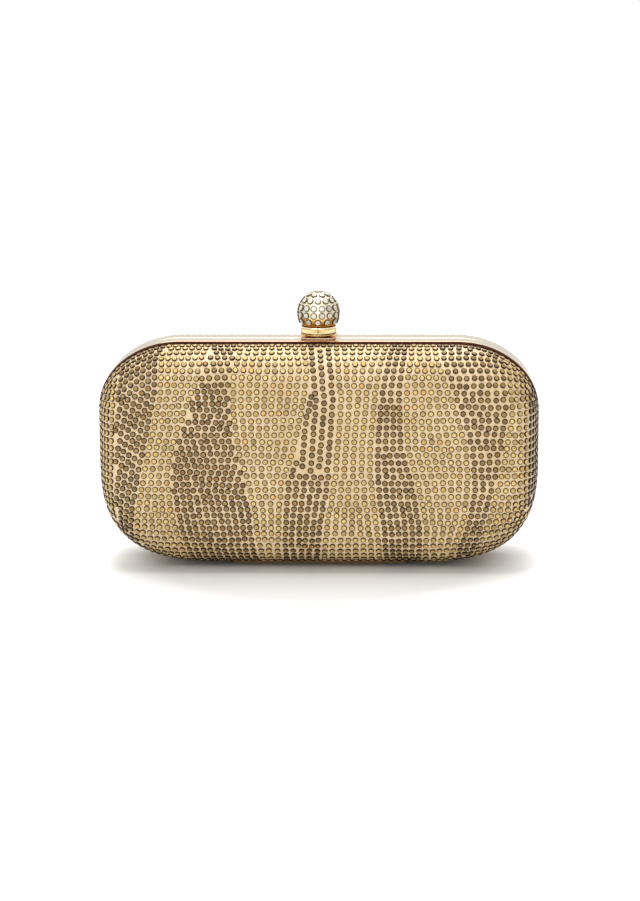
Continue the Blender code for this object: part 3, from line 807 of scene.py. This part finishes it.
def cut_template(flatness):
    """Points, faces and zones of a crystal of radius 1 that stands on z = 0, and its facets."""
    turn = 2 * math.pi * np.arange(CUT_SIDES) / CUT_SIDES
    rings = [np.stack([r * np.cos(turn), r * np.sin(turn), np.full(CUT_SIDES, h * flatness)],
                      axis=1) for r, h in CUT_PROFILE]
    quads = link_faces((len(rings), CUT_SIDES), False)
    last = (len(rings) - 1) * CUT_SIDES
    table_face = list(range(last, last + CUT_SIDES))
    under = list(range(CUT_SIDES))[::-1]
    zones = np.repeat(CUT_ZONES, CUT_SIDES)
    return np.concatenate(rings), quads.tolist() + [table_face, under], np.append(zones, [1.0, 0.0])


print("a crystal has", len(cut_template(1.0)[1]), "faces")

# %% Crystal setter
random = np.random.default_rng(7)
UPRIGHT = 0.9
# Painted light: a girdle facet is painted lighter, towards this zone, as its normal's upright part
# passes LIT_FROM, so that facets facing the lamps above or the table below look lit.
LIT_FROM, LIT_SPAN, LIT_ZONE = 0.80, 0.18, 0.72


def set_crystals(name, places, normals, radii, tints, flatness=1.0):
    """One mesh of crystals: the template is scaled, turned about each normal and moved.

    A point is its place plus the radius times the template's point along three axes: two
    tangents, turned by a random angle, and the normal.
    """
    template, faces, zones = cut_template(flatness)
    count = len(places)
    spin = random.uniform(0, 2 * math.pi, count)
    helper = np.where(np.abs(normals[:, 2:]) < UPRIGHT, [[0.0, 0.0, 1.0]], [[1.0, 0.0, 0.0]])
    across = np.cross(helper, normals)
    across /= np.linalg.norm(across, axis=1, keepdims=True)
    along = np.cross(normals, across)
    first = across * np.cos(spin)[:, None] + along * np.sin(spin)[:, None]
    second = np.cross(normals, first)
    axes = np.stack([first, second, normals], axis=1)
    points = places[:, None] + np.einsum("pk,nkj->npj", template, axes) * radii[:, None, None]
    shift = (np.arange(count) * len(template))[:, None]
    corners = [(np.array(face) + shift).tolist() for face in faces]
    piece = new_piece(name, points, [one for face in corners for one in face], smooth=False)
    sizes = np.repeat([len(face) for face in faces], count)
    facing = np.empty(len(sizes) * 3)
    piece.data.polygons.foreach_get("normal", facing)
    zone = np.repeat(zones, count)
    # Painted light: girdle facets that face up at the lamps or down at the table get a lighter
    # zone.
    lit = np.clip((np.abs(facing[2::3]) - LIT_FROM) / LIT_SPAN, 0, 1)
    zone = np.repeat(np.where(zone < 0.5, zone + (LIT_ZONE - zone) * lit, zone), sizes)
    # Painted glints: each facet gets a random brightness.
    painted_glint = np.repeat(random.uniform(0, 1, len(sizes)), sizes)
    tint = np.repeat(np.tile(tints, len(faces)), sizes)
    for label, values in (("zone", zone), ("painted_glint", painted_glint), ("tint", tint)):
        layer = piece.data.attributes.new(label, "FLOAT", "CORNER")
        layer.data.foreach_set("value", values.astype(np.float32))
    return piece


print("setter ready")

# %% Crystal finishes
def crystal_finish(name, girdle, crown, table, warm, dull=200):
    """Foiled glass: a dark girdle, a crown and a table painted as reflections, painted glints, and
    some crystals warmer than others.
    """
    made = Finish(name, crown, 0.15, Metallic=0.1, Specular_IOR_Level=0.22)
    facets = made.ramp(made.attribute("zone"), (0.0, girdle), (0.4, girdle), (0.7, crown),
                       (0.8, crown), (1.0, table))
    tints = made.ramp(made.attribute("tint"), (0.0, linear(218, 216, 210)),
                      (0.5, linear(255, 255, 255)), (0.8, linear(255, 255, 250)), (1.0, warm))
    # Painted glints: each facet is brightened at random between the dull value and white.
    painted_glint_ramp = made.ramp(made.attribute("painted_glint"), (0.0, linear(dull, dull, dull)),
                       (1.0, linear(255, 255, 255)))
    return made.colour(made.times(made.times(facets, tints), painted_glint_ramp))


# Girdle, crown and table colours, then the warm tint: the crown and table are painted reflections.
crystal_finishes = {
    "gold": crystal_finish("gold_crystal", linear(66, 36, 4), linear(222, 186, 112),
                           linear(240, 209, 142), linear(255, 236, 216)),
    "bronze": crystal_finish("bronze_crystal", linear(34, 16, 3), linear(136, 105, 58),
                             linear(178, 146, 92), linear(255, 234, 208)),
}
print("crystal finishes:", sorted(crystal_finishes))

# %% Crystals on both halves
STONE_RADIUS = 1.17 * MM
STONE_SPREAD = (0.96, 1.03)
# Each stone is a little out of place, and a bronze one more by this share.
JITTER, BRONZE_JITTER = 0.09 * MM, 0.4
# Both halves look the same to someone who faces them, so the rear one runs the other way.
for half, side in (("front", -1), ("rear", 1)):
    jitter = random.normal(0, JITTER, (len(placed), 2)) * (1 + BRONZE_JITTER * is_bronze[:, None])
    x, z = (placed[:, :2] + jitter * outward(*placed[:, :2].T)[:, 1:2]).T
    normal = outward(x, z)
    depth = depth_at(level_of(x, z), COVER_INSET)
    spot = np.stack([x * -side, side * depth, z + FRAME_MIDDLE], axis=1)
    normal = normal * [-side, side, 1]
    for colour, chosen in (("gold", ~is_bronze), ("bronze", is_bronze)):
        count = int(chosen.sum())
        piece = set_crystals(f"{half}_{colour}_crystals", spot[chosen], normal[chosen],
                             STONE_RADIUS * random.uniform(*STONE_SPREAD, count),
                             random.uniform(0, 1, count))
        dress(piece, f"{half}_half", "cover_satin", crystal_finishes[colour])

# %% [markdown]
# ## Polished frames
#
# Each frame is a channel bent from one strip of thin metal: an outer wall, a web that meets the
# other half at the seam, and a lower inner lip. The strip's profile is a closed line of points
# (inset, depth) with rounded bends, carried round the outline of the case. A bevelled curve
# could do the same, but this way every bend keeps its exact distance from the case. The notch
# for the hinge and the opening for the catch are cut out afterwards.

# %% The strip's profile
# The sheet's thickness, the radii of its bends, half the gap at the seam, the inner lip's inset
# and depth, the bulge of the outer wall, and the depth at which that wall ends.
FRAME_SHEET = 0.7 * MM
BEND = 0.6 * MM
SEAM_BEND = 0.3 * MM
SEAM = 0.05 * MM
LIP_INSET = 5.1 * MM
LIP_DEPTH = 5.0 * MM
WALL_CROWN = 0.12 * MM
FREE_END = FRAME_DEPTH - 0.25 * MM


def arc(middle, radius, start, end, steps=6):
    """Points on a circle between two angles in degrees, the first and last included."""
    turn = np.radians(np.linspace(start, end, steps))
    return np.stack([middle[0] + radius * np.cos(turn), middle[1] + radius * np.sin(turn)], axis=1)


def channel_profile():
    """The strip's closed profile as (inset, depth); its outer wall is a shallow parabola."""
    end, inner = FRAME_SHEET / 2, BEND - FRAME_SHEET / 2
    across = np.linspace(1, -1, 13)[1:-1]
    middle = (FREE_END - end + SEAM + SEAM_BEND) / 2
    outer_wall = np.stack([WALL_CROWN * across ** 2, middle + across * (FREE_END - end - middle)],
                          axis=1)
    parts = [
        arc((end + WALL_CROWN, FREE_END - end), end, 0, 180),
        outer_wall,
        arc((SEAM_BEND + WALL_CROWN, SEAM + SEAM_BEND), SEAM_BEND, 180, 270),
        arc((LIP_INSET - BEND, SEAM + BEND), BEND, 270, 360),
        arc((LIP_INSET - end, LIP_DEPTH - end), end, 0, 180),
        arc((LIP_INSET - BEND - end, SEAM + BEND + end), inner, 360, 270),
        arc((BEND + end, SEAM + BEND + end), inner, 270, 180),
    ]
    return np.concatenate(parts)


print("the profile has", len(channel_profile()), "points")

# %% Cutting
# How far a cutter reaches past what it cuts.
BEYOND = 10 * MM


def cutter(name, low, high):
    """A plain box that a boolean takes away, and that is deleted afterwards."""
    x, y, z = np.meshgrid(*zip(low, high), indexing="ij")
    points = np.stack([x, y, z], axis=-1).reshape(-1, 3)
    faces = [(0, 1, 3, 2), (4, 6, 7, 5), (0, 4, 5, 1), (2, 3, 7, 6), (0, 2, 6, 4), (1, 5, 7, 3)]
    return new_piece(name, points, faces, smooth=False)


def carve(piece, tool):
    """Takes the tool from the piece's own mesh, and removes the tool."""
    change = piece.modifiers.new("cut", "BOOLEAN")
    change.object, change.operation, change.solver = tool, "DIFFERENCE", "EXACT"
    bpy.context.view_layer.update()
    held = piece.evaluated_get(bpy.context.evaluated_depsgraph_get())
    mesh = bpy.data.meshes.new_from_object(held)
    piece.modifiers.clear()
    piece.data = mesh
    bpy.data.objects.remove(tool)


print("cutters ready")

# %% Polish
# Painted reflection: the strip's colour turns brown towards its free edge, between these depths,
# as if it mirrored the dark trim.
CHAMPAGNE, TRIM_REFLECTION_BROWN = (214, 199, 174), (140, 98, 70)
REFLECTION_DEPTHS = (7.30 * MM, 7.75 * MM)
polish = plated("champagne_gold_plate", CHAMPAGNE, 0.10, 0.24, grain=500.0)
polish.colour(polish.ramp(polish.place("Y", *REFLECTION_DEPTHS), (0.50, linear(*CHAMPAGNE)),
                          (0.78, linear(*TRIM_REFLECTION_BROWN))))
polish.bump(polish.noise(120.0, 2.0), 0.02 * MM, 0.25)
print("polish ready")

# %% Both frames
# Half the length of the hinge's notch and how far it reaches in, and the room round the catch.
NOTCH_HALF, NOTCH_REACH = 35.3 * MM, 1.4 * MM
ROOM, OPENING_DEPTH = 0.3 * MM, 1.0 * MM
catch_low, catch_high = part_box("catch_plate")


def frame_channel(half, side):
    """The strip's profile carried round the outline: one ring of the outline per point."""
    inset, depth = channel_profile().T
    rings = rings_at(outline(FRAME_BOX - inset[:, None], *METAL_STEPS), side * depth)
    return ring_stack(f"{half}_polished_frame", rings, looped=True, sharp=50)


for half, side in (("front", -1), ("rear", 1)):
    channel = frame_channel(half, side)
    carve(channel, cutter("notch", (-NOTCH_HALF, -NOTCH_REACH, -BEYOND),
                          (NOTCH_HALF, NOTCH_REACH, FRAME_BOTTOM + NOTCH_REACH)))
    if half == "front":
        low = (catch_low.x - ROOM, catch_low.y - ROOM, FRAME_TOP - OPENING_DEPTH)
        high = (catch_high.x + ROOM, catch_high.y + ROOM, FRAME_TOP + BEYOND)
        carve(channel, cutter("opening", low, high))
    dress(channel, f"{half}_half", "frame_metal", polish, f"{half}_frame")

# %% [markdown]
# ## Edge trim, with painted shade
#
# A flat dark brown cord closes the groove between the frame's free edge and the first crystals.
# It is partly painted shade: its dark brown stands for the shadow in that groove, the dark line
# under the bright frame. Its profile is a rounded oblong, a circle whose coordinates are replaced
# by their square roots. It leans inwards with the depth, and is carried round the outline like the
# frame's own profile.

# %% Trim
TRIM_INSET, TRIM_DEPTH = 0.83 * MM, 9.0 * MM
TRIM_HALF = (0.48 * MM, 1.2 * MM)
TRIM_LEAN = 0.175
# Painted shade: the cord's dark brown stands for the shadow in the groove.
groove_shade = Finish("groove_shade_brown", linear(54, 24, 8), 0.7, Specular_IOR_Level=0.05)
groove_shade.colour(groove_shade.ramp(groove_shade.noise(900.0), (0.3, linear(40, 15, 4)),
                                  (0.7, linear(72, 34, 12))))
circle = arc((0.0, 0.0), 1.0, 0, 342, 20)
across, along = (TRIM_HALF * np.sign(circle) * np.sqrt(np.abs(circle))).T
inset = TRIM_INSET + across + TRIM_LEAN * along
for half, side in (("front", -1), ("rear", 1)):
    rings = rings_at(outline(FRAME_BOX - inset[:, None], *METAL_STEPS),
                     side * (TRIM_DEPTH + along))
    dress(ring_stack(f"{half}_shade_trim", rings, looped=True), f"{half}_half", "cover_satin",
          groove_shade)

# %% [markdown]
# ## Linings
#
# Inside, plain satin is glued over the shell, darker than the outside. It only shows when the
# clutch is open. It is the same kind of wall as a cover, only further in.

# %% Linings
LINING_INSET, LINING_SHEET = 3.5 * MM, 0.6 * MM
lining_satin = Finish("lining_satin", linear(176, 147, 104), 0.5, Sheen_Weight=0.3,
                      Sheen_Roughness=0.4)
lining_satin.colour(lining_satin.ramp(lining_satin.noise(45.0, 4.0), (0.3, linear(165, 136, 94)),
                                      (0.7, linear(190, 160, 116))))
lining_satin.bump(lining_satin.noise(30.0, 3.0), 0.6 * MM, 0.35)
for half, side in (("front", -1), ("rear", 1)):
    lining = dress(wall(f"{half}_satin_lining", side, LINING_INSET, LINING_SHEET), f"{half}_half",
                   "lining_cloth", lining_satin, f"{half}_lining")

# %% [markdown]
# ## Ball clasp
#
# The knob of the clasp is a metal ball set with round clear crystals in level rings. It sits in
# a small turned bowl, and a milled band hides the joint between them. These are turned pieces:
# a profile of (radius, height) points carried round the upright axis. Blender's Screw modifier
# turns a profile too, but here the radius can also wave, which makes the milling.

# %% Turning
MILLS = 52


def turned(name, profile, around=72, looped=True, sharp=45, middle=(0.0, 0.0, FRAME_TOP)):
    """A profile (radius, height, milling) carried round the upright axis through the middle.

    The milling, where there is one, is how far a cosine of MILLS waves moves the radius.
    """
    turn = 2 * math.pi * np.arange(around) / around
    radius, height, *milling = np.array(profile, float).T[..., None]
    radius = radius + (milling[0] if milling else 0.0) * np.cos(MILLS * turn)
    rings = np.stack([radius * np.cos(turn), radius * np.sin(turn),
                      np.broadcast_to(height, radius.shape)], axis=-1)
    return ring_stack(name, rings + np.array(middle), looped=looped, sharp=sharp)


print("turning ready")

# %% Profiles of the bowl and the band
# Heights are measured from the frame's top.
BALL_RADIUS, BALL_HEIGHT = 8.3 * MM, 10.2 * MM
BALL_CENTRE = np.array([0.0, 0.0, FRAME_TOP + BALL_HEIGHT])
CUP_RADIUS, CUP_FOOT, CUP_LIP = 7.2 * MM, 4.0 * MM, 0.2 * MM
COLLAR_RADIUS, COLLAR_SHEET = 7.25 * MM, 0.5 * MM
COLLAR_LOW, COLLAR_TALL, COLLAR_SPLIT = 2.45 * MM, 2.55 * MM, 0.3 * MM
GAP = 0.3 * MM
BORE = 1.1 * MM
THIN_BEAD, THICK_BEAD, BEAD_GAP = 0.2 * MM, 0.48 * MM, 0.06 * MM
GROOVE_DIP, MILL_DEPTH, GROOVE_RINGS = 0.28 * MM, 0.20 * MM, 6
BOWL_FOOT = 1.0 * MM


def bowl_profile():
    """The bowl: a spigot inside the band, a lip, a quarter-ellipse outside and a round seat."""
    seat = BALL_RADIUS + GAP
    spigot = COLLAR_RADIUS - COLLAR_SHEET - GAP
    reach = spigot - GAP
    lip = COLLAR_LOW - GAP
    turn = np.linspace(0, math.pi / 2, 16)
    side = np.stack([CUP_FOOT + (CUP_RADIUS - CUP_FOOT) * np.cos(turn),
                     BOWL_FOOT + (lip - CUP_LIP - BOWL_FOOT) * (1 - np.sin(turn))], axis=1)
    inside = np.linspace(BORE, reach, 14)
    well = np.stack([inside, BALL_HEIGHT - np.sqrt(seat ** 2 - inside ** 2)], axis=1)
    top = [(spigot, well[-1, 1]), (spigot, lip), (CUP_RADIUS - CUP_LIP / 2, lip),
           (CUP_RADIUS, lip - CUP_LIP / 2)]
    return np.concatenate([top, side, [(BORE, BOWL_FOOT)], well])


def band_profile():
    """The band: a thin bead below, a milled groove, and a thick bead on top."""
    low, high = COLLAR_LOW, COLLAR_LOW + COLLAR_TALL
    inside, surface = COLLAR_RADIUS - COLLAR_SHEET, COLLAR_RADIUS
    lower = arc((surface - THIN_BEAD, low + THIN_BEAD), THIN_BEAD, -90, 90, 7)
    upper = arc((0.0, 0.0), THICK_BEAD, -90, 90, 9) * (0.5, 1.0)
    upper += (surface - THICK_BEAD / 2, high - THICK_BEAD)
    heights = np.linspace(lower[-1, 1] + BEAD_GAP, upper[0, 1] - BEAD_GAP, GROOVE_RINGS)
    groove = np.stack([np.full(GROOVE_RINGS, surface - GROOVE_DIP), heights], axis=1)
    profile = np.concatenate([[(inside, low)], lower, groove, upper, [(inside, high)]])
    milled = np.zeros((len(profile), 1))
    milled[1 + len(lower):1 + len(lower) + len(groove)] = MILL_DEPTH
    return np.hstack([profile, milled])


print("profiles:", len(bowl_profile()), "and", len(band_profile()), "points")

# %% Bowl and band
WARM_SHADE, PALE_SHADE = (232, 196, 128), (244, 232, 196)
BEAD, GROOVE_PAINTED_SHADE, PAINTED_BAND_SHADOW = linear(250, 238, 202), linear(236, 214, 162), linear(74, 42, 18)
BAND_FOOT = FRAME_TOP + COLLAR_LOW
pale_gold = plated("pale_gold_plate", PALE_SHADE, 0.14, 0.3)
# The milled groove is painted darker than the beads: painted shade in its recess.
pale_gold.colour(pale_gold.ramp(pale_gold.place("Z", BAND_FOOT, BAND_FOOT + COLLAR_TALL),
                                (0.14, BEAD), (0.20, GROOVE_PAINTED_SHADE), (0.56, GROOVE_PAINTED_SHADE), (0.62, BEAD)))
bowl_gold = plated("bowl_gold_plate", WARM_SHADE, 0.12, 0.3)
# Painted shadow: the bowl turns dark brown just under the band.
bowl_gold.colour(bowl_gold.ramp(
    bowl_gold.place("Z", BAND_FOOT - 2 * GAP, BAND_FOOT - GAP / 2),
    (0.3, linear(*WARM_SHADE)), (0.8, PAINTED_BAND_SHADOW)))

dress(turned("clasp_bowl", bowl_profile()), "clasp", "clasp_metal", bowl_gold, "clasp_cup")
band = turned("clasp_band", band_profile(), around=4 * MILLS)
carve(band, cutter("split", (-COLLAR_SPLIT / 2, -BEYOND, FRAME_TOP),
                   (COLLAR_SPLIT / 2, 0.0, FRAME_TOP + BEYOND)))
dress(band, "clasp", "clasp_metal", pale_gold, "clasp_collar")

# %% Ball
# Heights from the ball's middle between which its metal changes from ochre to pale. The ochre below
# is a painted reflection of the gold frame under the ball.
BALL_REFLECTION_HEIGHTS = (-4.2 * MM, 0.6 * MM)
latitude = np.radians(np.linspace(-88, 88, 45))
ball_profile = np.stack([BALL_RADIUS * np.cos(latitude), BALL_RADIUS * np.sin(latitude)], axis=1)
ball = turned("ball_body", ball_profile, looped=False, sharp=None, middle=BALL_CENTRE)
ball_gold = plated("ball_gold_plate", PALE_SHADE, 0.28, 0.44)
ball_gold.colour(ball_gold.ramp(
    ball_gold.place("Z", BALL_CENTRE[2] + BALL_REFLECTION_HEIGHTS[0], BALL_CENTRE[2] + BALL_REFLECTION_HEIGHTS[1]),
    (0.0, linear(202, 134, 54)), (0.45, linear(230, 192, 120)), (1.0, linear(238, 228, 196))))
dress(ball, "clasp", "clasp_metal", ball_gold, "clasp_ball")

# %% Crystals on the ball
# Degrees above the ball's equator, number of crystals, and where the first one stands in pitches.
BALL_ROWS = [(-21.0, 13, 0.0), (-2.0, 16, 0.5), (17.5, 16, 0.5), (39.5, 13, 0.0),
             (62.0, 8, 0.5), (90.0, 1, 0.0)]
BALL_STONE, BALL_FLATNESS = 1.4 * MM, 0.58


def ball_directions():
    """Unit vectors to the crystals: even turns round each ring, started at the front."""
    rows = []
    for rise, count, start in BALL_ROWS:
        turn = 2 * math.pi * (np.arange(count) + start) / count - math.pi / 2
        level = math.radians(rise)
        rows.append(np.stack([math.cos(level) * np.cos(turn), math.cos(level) * np.sin(turn),
                              np.full(count, math.sin(level))], axis=1))
    return np.concatenate(rows)


clear = crystal_finish("clear_crystal", linear(84, 76, 46), linear(232, 226, 208),
                       linear(246, 242, 230), linear(255, 240, 238), dull=228)
directions = ball_directions()
stones = set_crystals("ball_crystals", BALL_CENTRE + directions * BALL_RADIUS, directions,
                      np.full(len(directions), BALL_STONE),
                      random.uniform(0, 1, len(directions)), BALL_FLATNESS)
dress(stones, "clasp", "clasp_metal", clear)

# %% [markdown]
# ## Small CAD nodes
#
# The shells, hinge leaves, pins, lugs, lever, catch plate, spring and screw have the right
# shape already, so they keep their CAD meshes and get finishes of their own.

# %% Finishes for the nodes that stay
# The hinge's brass is painted darker than the other metals: painted shade, as it sits in shadow
# under the case.
hinge_brass = plated("hinge_brass", (158, 126, 78), 0.30, 0.48, 800.0, (6.0, 1.0, 1.0))
warm_gold = plated("warm_gold_plate", WARM_SHADE, 0.12, 0.3)
rose_gold = plated("rose_gold_plate", (226, 182, 152), 0.18, 0.34)
steel = plated("spring_wire", (196, 196, 198), 0.2, 0.36, grain=900.0)
board = Finish("shell_board", linear(118, 106, 88), 0.75)
board.colour(board.ramp(board.noise(200.0, 5.0), (0.3, linear(104, 93, 76)),
                        (0.7, linear(132, 120, 100))))
for finish, names in (
        (board, ("front_shell", "rear_shell")),
        (hinge_brass, ("front_hinge_leaf", "rear_hinge_leaf", "hinge_pin")),
        (polish, ("catch_plate",)),
        (warm_gold, ("clasp_lug_left", "clasp_lug_right")),
        (rose_gold, ("clasp_lever",)),
        (steel, ("clasp_spring", "clasp_pin", "clasp_screw"))):
    for name in names:
        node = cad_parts[name]
        node.data.materials.clear()
        node.data.materials.append(finish.material)
print("CAD nodes finished")
